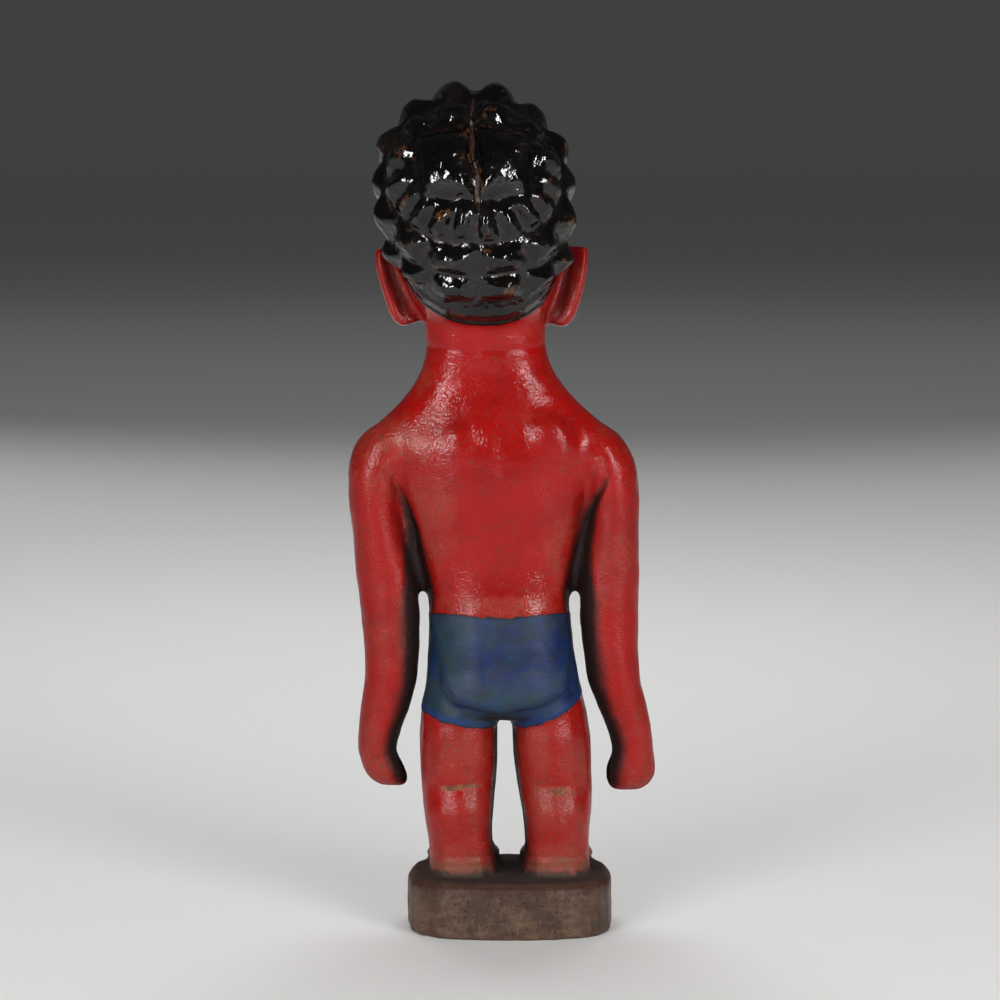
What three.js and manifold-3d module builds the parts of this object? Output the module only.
// Spirit spouse figure: a standing man in short trunks, carved from one block of wood with its plinth.
// Millimetres, +Z up. The figure faces -Y, so its back is on +Y and its own left hand is on +X.
// The origin is the centre of the plinth's underside.
import * as THREE from 'three';
import Module from 'manifold-3d';
import { mergeVertices } from 'three/addons/utils/BufferGeometryUtils.js';

const wasm = await Module();
wasm.setup();

// Driving dimensions
const plinthWidth = 91;
const plinthDepth = 75;
const plinthHeight = 25;
const plinthChamfer = 3;
const plinthFootRounding = 1;
const plinthSides = 20;
const plinthSquareness = 3;
const figureHeight = 350; // from the plinth's top to the highest knob of hair

// The body's measures are in thousandths of the figure's height, counted up from the plinth's top.
const share = figureHeight / 1000;
const rooted = 8; // how far the legs and feet run down into the plinth, in the same thousandths

// The body leans to its own left as it rises, a little more steeply towards the head.
const leanAtFeet = 0.0345;
const leanGrowth = 0.0000165;
const bodyLean = (height) => Math.max(height, 0) * (leanAtFeet + leanGrowth * height);
const upright = () => 0;

const { cos, sin, sign, abs, pow, PI, hypot } = Math;
const degrees = THREE.MathUtils.degToRad;

// A closed geometry as a solid that can be joined and cut.
function solid(geometry) {
  const bare = geometry.clone();
  bare.deleteAttribute('normal');
  bare.deleteAttribute('uv');
  const merged = mergeVertices(bare, 1e-4);
  return new wasm.Manifold(new wasm.Mesh({
    numProp: 3,
    vertProperties: new Float32Array(merged.attributes.position.array),
    triVerts: new Uint32Array(merged.index.array),
  }));
}

const join = (geometries) => geometries.map(solid).reduce((all, next) => all.add(next));
const cut = (body, geometries) => geometries.map(solid).reduce((left, tool) => left.subtract(tool), body);

// A smooth or straight curve through rows of numbers, read at any value of the first column.
function interpolant(rows, smooth = true) {
  const size = rows[0].length - 1;
  const Kind = smooth ? THREE.CubicInterpolant : THREE.LinearInterpolant;
  const keys = Float32Array.from(rows, (row) => row[0]);
  const values = Float32Array.from(rows.flatMap((row) => row.slice(1)));
  return new Kind(keys, values, size, new Float32Array(size));
}

// A point on a level section, a squarish oval. The angle runs from +X round by the back.
// Rows hold: height, how far out from the midline, half width, back y, front y.
function sectionPoint(curve, height, angle, { side, squareness, midline }, reach = 1) {
  const [out, half, back, front] = curve.evaluate(height);
  const along = pow(abs(cos(angle)), 2 / squareness) * sign(cos(angle));
  const across = pow(abs(sin(angle)), 2 / squareness) * sign(sin(angle));
  return new THREE.Vector3(
    midline(height) + side * out + reach * half * along,
    (back + front) / 2 + reach * ((back - front) / 2) * across,
    height,
  );
}

// A cylinder whose rings are moved on to the level sections of a limb or body.
function loft(rows, { side = 1, squareness = 2.3, sides = 12, rings = 16,
  smooth = true, midline = bodyLean } = {}) {
  const curve = interpolant(rows, smooth);
  const geometry = new THREE.CylinderGeometry(1, 1, 1, sides, rings);
  geometry.rotateX(PI / 2);
  const position = geometry.attributes.position;
  for (let i = 0; i < position.count; i++) {
    const [x, y] = [position.getX(i), position.getY(i)];
    const place = (position.getZ(i) + 0.5) * (rows.length - 1);
    const step = Math.min(Math.floor(place + 1e-6), rows.length - 2);
    const height = THREE.MathUtils.lerp(rows[step][0], rows[step + 1][0], place - step);
    const reach = hypot(x, y) > 0.5 ? 1 : 0;
    const point = sectionPoint(curve, height, Math.atan2(y, x), { side, squareness, midline }, reach);
    position.setXYZ(i, point.x, point.y, point.z);
  }
  return geometry;
}

// An egg with its own half sizes, for rounded masses. Its place is given from the body's midline.
function egg([out, y, z], [halfX, halfY, halfZ], { sides = 12, rings = 5, tilt = 0 } = {}) {
  return new THREE.SphereGeometry(1, sides, rings)
    .scale(halfX, halfY, halfZ)
    .rotateY(tilt)
    .translate(bodyLean(z) + out, y, z);
}

// A slab that cuts a groove: half sizes, then a turn about Y. Its place is given from the midline.
function groove([out, y, z], [halfX, halfY, halfZ], turn = 0) {
  return new THREE.BoxGeometry(2 * halfX, 2 * halfY, 2 * halfZ)
    .rotateY(turn)
    .translate(bodyLean(z) + out, y, z);
}

// Skull and jaw
const headShape = { side: 1, squareness: 2.2, midline: bodyLean };
const headRows = [
  [656, 0, 30, 20, -62],
  [667, 0, 45, 35, -78],
  [688, 0, 65, 54, -89],
  [704, 0, 76, 74, -93],
  [722, 1, 86, 93, -96],
  [760, 2, 100, 113, -100],
  [800, 3, 110, 123, -100],
  [838, 3, 115, 127, -99],
  [880, 3, 114, 123, -95],
  [915, 2, 105, 110, -85],
  [942, 1, 88, 91, -68],
  [966, 0, 64, 67, -46],
  [980, 0, 38, 42, -20],
  [986, 0, 10, 17, 5],
];

// The face is set out by halves and thirds: eyes half way up the head, an eye's width between them.
const chinZ = 658;
const crownZ = 981;
const eyeZ = (chinZ + crownZ) / 2;
const eyeHalf = 21;
const eyeOut = 2 * eyeHalf;
const browZ = eyeZ + 28;
const noseZ = (browZ + chinZ) / 2 + 4;
const mouthZ = noseZ - (noseZ - chinZ) / 3 - 2;
const lipRise = 7;
const browThickness = 12;

function face() {
  const nose = loft([
    [noseZ - 4, 0, 9, -86, -101],
    [noseZ + 3, 0, 21, -84, -114],
    [noseZ + 12, 0, 20, -84, -117],
    [noseZ + 28, 0, 12, -84, -114],
    [eyeZ, 0, 9, -84, -105],
    [browZ, 0, 12, -84, -99],
  ], { squareness: 2, sides: 8, rings: 5 });
  const features = [
    nose,
    egg([0, -95, mouthZ + lipRise], [26, 12, 8]),
    egg([0, -93, mouthZ - lipRise], [22, 12, 8]),
    egg([0, -77, chinZ + 26], [26, 16, 20]),
  ];
  for (const side of [-1, 1]) {
    const point = (out, y, z) => new THREE.Vector3(bodyLean(z) + side * out, y, z);
    const arch = new THREE.CatmullRomCurve3([
      point(12, -98, browZ),
      point(32, -97, browZ + 8),
      point(58, -84, browZ + 6),
      point(78, -66, browZ - 6),
    ]);
    const bar = new THREE.Shape().absarc(0, 0, browThickness / 2, 0, 2 * PI);
    features.push(new THREE.ExtrudeGeometry(bar, {
      steps: 6,
      curveSegments: 3,
      extrudePath: arch,
      bevelEnabled: false,
    }));
    features.push(egg([side * eyeOut, -85, eyeZ], [eyeHalf, 14, 12]));
    features.push(egg([side * 17, -98, noseZ + 6], [9, 10, 8], { sides: 8, rings: 5 }));
  }
  return features;
}

// Ears: plates that stand out from the head, hollowed on the side that faces forward.
const earSpread = degrees(24);
const earThickness = 15;
const earY = 4;
const leftEar = { side: 1, topOut: 138, footOut: 108, topZ: 793, footZ: 690 };
const rightEar = { side: -1, topOut: 130, footOut: 104, topZ: 795, footZ: 690 };

function ear({ side, topOut, footOut, topZ, footZ }) {
  const height = topZ - footZ;
  const rim = new THREE.Shape();
  rim.moveTo(-34, 0);
  rim.lineTo(-6, 0);
  rim.quadraticCurveTo(4, 0.05 * height, 6, 0.3 * height);
  rim.quadraticCurveTo(10, 0.75 * height, 0, height);
  rim.lineTo(-40, 0.94 * height);
  const plate = new THREE.ExtrudeGeometry(rim, {
    depth: earThickness,
    curveSegments: 5,
    bevelEnabled: false,
  });
  plate.rotateX(PI / 2).translate(0, earThickness / 2, 0);
  const hollow = egg([-12, -9, 0.56 * height], [13, 8, 0.3 * height]);
  const lean = Math.atan2(topOut - footOut, height);
  const place = new THREE.Matrix4().makeTranslation(bodyLean(footZ) + side * footOut, earY, footZ)
    .multiply(new THREE.Matrix4().makeRotationY(side * lean))
    .multiply(new THREE.Matrix4().makeRotationZ(side * earSpread))
    .multiply(new THREE.Matrix4().makeScale(side, 1, 1));
  return solid(plate).subtract(solid(hollow)).transform(place.elements);
}

// Hair: a cap over the skull above a slanting hairline, set with rings of hewn knobs.
const capThickness = 3;
const earHairZ = 791;
const templeSlope = 1.3;
const napeSlope = 0.75;
const napeCurve = 0.0095;
const hairline = (y) => earHairZ - (y < 0 ? templeSlope * y : (napeSlope + napeCurve * y) * y);

function hairCap() {
  const raised = headRows.map(([z, out, half, back, front]) => (
    [z, out, half + capThickness, back + capThickness, front - capThickness]
  ));
  const reach = 200;
  const above = Math.max(hairline(-reach), crownZ) + reach;
  const steps = 20;
  const keep = new THREE.Shape([new THREE.Vector2(-reach, above)]);
  for (let k = 0; k <= steps; k++) {
    const y = reach * ((2 * k) / steps - 1);
    keep.lineTo(y, hairline(y));
  }
  keep.lineTo(reach, above);
  const wedge = new THREE.ExtrudeGeometry(keep, { depth: 2 * reach, bevelEnabled: false });
  const alongX = new THREE.Matrix4().makeBasis(
    new THREE.Vector3(0, 1, 0),
    new THREE.Vector3(0, 0, 1),
    new THREE.Vector3(1, 0, 0),
  );
  wedge.applyMatrix4(alongX).translate(-reach, 0, 0);
  return solid(loft(raised, { ...headShape, sides: 20, rings: 12 })).intersect(solid(wedge));
}

// The rings run round a pole at the back of the head. Their edges are ovals on the skull, in degrees
// from the pole: across, up over the crown, and down to the nape. Two large knobs fill the first oval.
const poleRise = degrees(31);
const templeZ = 838;
const skullMiddle = new THREE.Vector3(bodyLean(templeZ) + 3, 12, templeZ);
const ringEdges = [
  [33, 20, 25],
  [62, 39, 49],
  [90, 66, 67],
  [108, 89, 81],
  [124, 111, 96],
];
const hairRings = [
  { above: 6, below: 10, high: 13 },
  { above: 8, below: 6, high: 12 },
  { above: 10, below: 8, high: 11 },
  { above: 10, below: 0, high: 9 },
];
const largeKnob = { out: 17, drop: 2.5, halfWide: 16.5, halfTall: 21.5, high: 15 };
const rimBand = 10;

// Each level of a knob: its height as a share of the tip's, and its half size as a share of the cell's.
const hewnKnob = { sides: 4, levels: [[-0.5, 1.22], [0.5, 0.78], [1, 0.3]], offCentre: 0.16 };
const roundedKnob = {
  sides: 4,
  levels: [[-0.5, 1.16], [0.5, 0.96], [0.85, 0.8], [1, 0.55]],
  offCentre: 0.05,
};
const unevenHeight = 0.14;

// Where a line from the skull's middle leaves the skull. The place holds degrees across and up.
function onSkull(curve, place) {
  const [turn, bearing] = [degrees(place.length()), place.angle()];
  const ray = new THREE.Vector3(
    sin(turn) * cos(bearing),
    cos(turn) * cos(poleRise) - sin(turn) * sin(bearing) * sin(poleRise),
    cos(turn) * sin(poleRise) + sin(turn) * sin(bearing) * cos(poleRise),
  );
  let [near, far] = [0, 200];
  for (let halvings = 0; halvings < 22; halvings++) {
    const middle = (near + far) / 2;
    const point = skullMiddle.clone().addScaledVector(ray, middle);
    const [out, half, back, front] = curve.evaluate(point.z);
    const across = abs((point.x - bodyLean(point.z) - out) / half);
    const along = abs((2 * point.y - back - front) / (back - front));
    const within = pow(across, headShape.squareness) + pow(along, headShape.squareness) < 1;
    const level = point.z > headRows[0][0] && point.z < headRows.at(-1)[0];
    if (within && level) near = middle;
    else far = middle;
  }
  return skullMiddle.clone().addScaledVector(ray, near);
}

// One knob: a blunt pyramid or dome, a little off centre as hewn. Its foot is wider than its cell, so
// that neighbours meet in a notch.
function knob(curve, { centre, sideways, outward, high, form }, number) {
  const steps = form.levels.length - 1;
  const flat = 1 / cos(PI / form.sides);
  const geometry = new THREE.CylinderGeometry(flat, flat, 1, form.sides, steps, false, PI / form.sides);
  geometry.rotateX(PI / 2);
  const uneven = new THREE.Vector2(sin(7.3 * number), cos(4.1 * number)).multiplyScalar(form.offCentre);
  const tip = high * (1 + unevenHeight * sin(2.7 * number)) + capThickness;
  const middle = onSkull(curve, centre);
  const normal = middle.clone().sub(skullMiddle).normalize();
  const position = geometry.attributes.position;
  for (let i = 0; i < position.count; i++) {
    const [rise, spread] = form.levels[Math.round(steps * (position.getZ(i) + 0.5))];
    const shift = Math.max(rise, 0);
    const place = centre.clone()
      .addScaledVector(sideways, position.getX(i) * spread + shift * uneven.x)
      .addScaledVector(outward, position.getY(i) * spread + shift * uneven.y);
    const point = onSkull(curve, place).addScaledVector(normal, rise * tip);
    position.setXYZ(i, point.x, point.y, point.z);
  }
  return geometry;
}

function hairKnobs() {
  const curve = interpolant(headRows);
  const found = [];
  const set = (cell) => {
    const { y, z } = onSkull(curve, cell.centre.clone().add(cell.outward));
    if (z >= hairline(y) + rimBand) found.push(knob(curve, cell, found.length));
  };
  for (const side of [-1, 1]) {
    set({
      centre: new THREE.Vector2(side * largeKnob.out, -largeKnob.drop),
      sideways: new THREE.Vector2(-largeKnob.halfWide, 0),
      outward: new THREE.Vector2(0, largeKnob.halfTall),
      high: largeKnob.high,
      form: roundedKnob,
    });
  }
  hairRings.forEach(({ above, below, high }, ring) => {
    for (const [knobs, reach, start] of [[above, 1, 0], [below, 2, PI]]) {
      const edge = ([across, ...upDown]) => (
        new THREE.EllipseCurve(0, 0, across, upDown[reach - 1], start, start + PI)
      );
      const [inner, outer] = [edge(ringEdges[ring]), edge(ringEdges[ring + 1])];
      const centreAt = (along) => inner.getPointAt(along).add(outer.getPointAt(along)).divideScalar(2);
      for (let k = 0; k < knobs; k++) {
        const along = (k + 0.5) / knobs;
        const outward = outer.getPointAt(along).sub(inner.getPointAt(along)).divideScalar(2);
        const sideways = centreAt((k + 1) / knobs).sub(centreAt(k / knobs)).divideScalar(2);
        set({ centre: centreAt(along), sideways, outward, high, form: hewnKnob });
      }
    }
  });
  return found;
}

// Neck, shoulders and trunk, down to the seat that overhangs the thighs
const trunkRows = [
  [198, 0, 48, 38, -38],
  [202, 0, 68, 64, -54],
  [210, 0, 84, 78, -60],
  [228, 0, 94, 85, -64],
  [258, 0, 95, 80, -67],
  [290, 0, 91, 66, -70],
  [328, 0, 89, 54, -75],
  [370, 0, 93, 50, -78],
  [417, 0, 105, 54, -71],
  [468, 0, 117, 62, -66],
  [510, 0, 133, 66, -63],
  [545, 0, 150, 65, -56],
  [560, 0, 151, 60, -50],
  [575, 0, 137, 56, -47],
  [596, 0, 113, 52, -43],
  [622, 0, 91, 49, -42],
  [648, 0, 79, 49, -43],
  [670, 0, 75, 52, -45],
  [700, 0, 78, 56, -46],
];

// Low masses on the back, the chest and the belly
const swellings = [
  egg([38, 57, 541], [28, 10, 34]),
  egg([-72, 54, 546], [34, 11, 40]),
  egg([54, -51, 506], [62, 14, 46]),
  egg([-54, -51, 506], [62, 14, 46]),
  egg([0, -76, 366], [7, 6, 7], { sides: 8, rings: 4 }),
];

// Each hand, from the bent finger ends up to the wrist. The right one hangs lower and is broader.
const leftHandRows = [
  [104, 146, 17, -8, -40],
  [112, 150, 25, 3, -50],
  [130, 157, 27, 10, -51],
  [152, 164, 24, 13, -43],
];
const rightHandRows = [
  [98, 152, 19, -10, -40],
  [108, 157, 30, 3, -50],
  [130, 159, 32, 11, -51],
  [152, 163, 26, 13, -43],
];

// Arm, from the wrist up to the shoulder
const armRows = [
  [190, 156, 30, 22, -42],
  [240, 142, 34, 33, -40],
  [300, 138, 36, 38, -38],
  [360, 140, 39, 40, -38],
  [430, 148, 34, 45, -41],
  [493, 150, 34, 51, -44],
  [524, 142, 38, 53, -45],
  [548, 130, 39, 49, -41],
  [564, 122, 31, 39, -31],
  [573, 118, 16, 24, -16],
];

// The wood left between the arm and the side, from the armpit to the waist
const webRows = [
  [356, 102, 12, 0, -20],
  [368, 104, 14, 7, -27],
  [440, 116, 16, 16, -26],
  [510, 122, 20, 34, -30],
];

// Thumb in front, a hollow behind it, and grooves that part the fingers
const handZ = 130;
const fingerGrooves = 3;
const fingerPitch = 14;

function arm(side) {
  const thumb = egg([side * 143, -48, handZ + 4], [8, 9, 22], { tilt: side * 0.25 });
  const hollow = egg([side * 121, 15, handZ], [12, 14, 24], { tilt: -side * 0.3 });
  const parting = (k) => (
    groove([side * 168, -10 - k * fingerPitch, handZ - 20], [9, 1.6, 26], side * degrees(38))
  );
  const handRows = side > 0 ? leftHandRows : rightHandRows;
  const whole = join([
    loft([...handRows, ...armRows], { side, squareness: 2.2, rings: 18 }),
    loft(webRows, { side, squareness: 2.6, sides: 12, rings: 4 }),
    thumb,
  ]);
  return cut(whole, [hollow, ...Array.from({ length: fingerGrooves }, (_, k) => parting(k))]);
}

// Leg, from the heel up to where the seat hides it
const legRows = [
  [-rooted, 58, 43, 62, -30],
  [8, 58.5, 44, 66, -30],
  [26, 60, 42, 61, -20],
  [42, 61, 41, 61, -18],
  [66, 62, 43, 67, -24],
  [92, 62, 46, 69, -34],
  [110, 61, 48, 60, -45],
  [128, 60, 49, 63, -48],
  [160, 59, 50, 67, -49],
  [195, 57, 50, 68, -55],
  [255, 50, 44, 52, -50],
];

// Foot, with the figure laid on its back: how far ahead, out from the midline, half width, height.
const footRows = [
  [-15, 58, 38, 58, -rooted],
  [10, 58, 42, 46, -rooted],
  [35, 59, 44, 36, -rooted],
  [62, 60, 47, 25, -rooted],
  [86, 60, 46, 18, -rooted],
  [96, 60, 38, 12, -rooted],
];
const legOut = 60;
const toeGrooves = [-18, -3, 11, 25];
const toeGrooveDepth = 12;

function leg(side) {
  const form = { side, squareness: 2.6, sides: 12, rings: 7, midline: upright };
  const foot = loft(footRows, form).rotateX(PI / 2);
  const partings = toeGrooves.map((out) => groove([side * (legOut + out), -96, 14], [2, 20, toeGrooveDepth]));
  return solid(loft(legRows, { side, rings: 13 })).add(cut(solid(foot), partings));
}

function body() {
  const trunk = join([loft(trunkRows, { squareness: 2.5, sides: 22, rings: 22 }), ...swellings]);
  const head = join([loft(headRows, { ...headShape, sides: 24, rings: 16 }), ...face()])
    .add(ear(leftEar))
    .add(ear(rightEar));
  const hair = join(hairKnobs()).add(hairCap());
  const limbs = [arm(1), arm(-1), leg(1), leg(-1)];
  return limbs.reduce((all, limb) => all.add(limb), trunk.add(head).add(hair))
    .scale([share, share, share])
    .translate([0, 0, plinthHeight]);
}

// Plinth: a hewn oval block with its upper edge cut back
function plinth() {
  const [half, deep] = [plinthWidth / 2, plinthDepth / 2];
  const row = (height, inset) => [height, 0, half - inset, deep - inset, inset - deep];
  return solid(loft([
    row(0, plinthFootRounding),
    row(plinthFootRounding, 0),
    row(plinthHeight - plinthChamfer, 0),
    row(plinthHeight, plinthChamfer),
  ], { squareness: plinthSquareness, sides: plinthSides, rings: 3, smooth: false, midline: upright }));
}

// The solid as a mesh to show
function meshOf(name, carved, material) {
  const { vertProperties, triVerts } = carved.getMesh();
  const geometry = new THREE.BufferGeometry();
  geometry.setAttribute('position', new THREE.BufferAttribute(vertProperties, 3));
  geometry.setIndex(new THREE.BufferAttribute(triVerts, 1));
  geometry.computeVertexNormals();
  const mesh = new THREE.Mesh(geometry, material);
  mesh.name = name;
  return mesh;
}

const redPaintedWood = new THREE.MeshStandardMaterial({ color: 0xb02a22, roughness: 0.42, metalness: 0 });

const figure = new THREE.Group();
figure.add(meshOf('carved_figure', plinth().add(body()), redPaintedWood));

export default figure;
